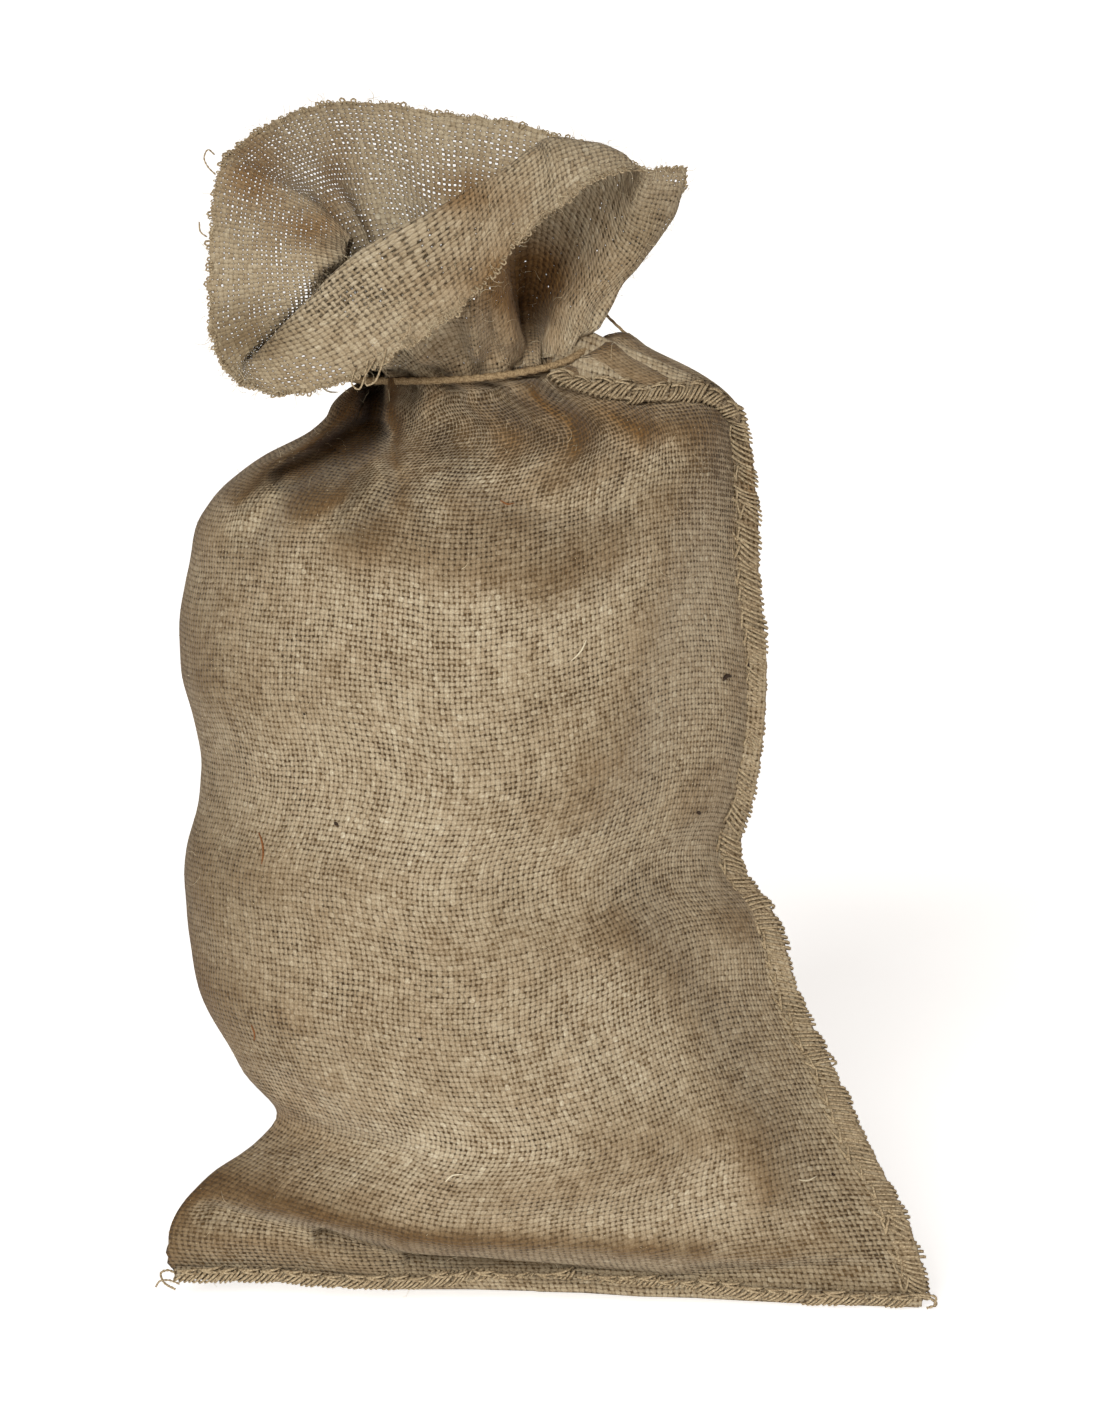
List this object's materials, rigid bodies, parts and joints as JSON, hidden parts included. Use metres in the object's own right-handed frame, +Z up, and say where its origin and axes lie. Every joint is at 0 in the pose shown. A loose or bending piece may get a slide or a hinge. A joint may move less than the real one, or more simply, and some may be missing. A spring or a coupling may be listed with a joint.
{
  "type": "burlap sack",
  "caption": "Small filled burlap sack that stands upright, sewn at one side and along its foot, tied at the neck with jute twine, its mouth turned out over the tie.",
  "frame": {"origin": "on the floor, under the middle of the sack's flat foot", "axes": "+Z up along the standing sack, the front with the bottom seam along its foot faces -Y, the sewn side is at +X"},
  "size_m": [0.314, 0.1711, 0.4874],
  "materials": {
    "jute_cloth": "matt open plain weave of undyed jute yarn",
    "jute_twine": "matt plied jute twine"
  },
  "bodies": {
    "root": {"sack": "jute_cloth", "tie": "jute_twine"}
  },
  "joints": []
}
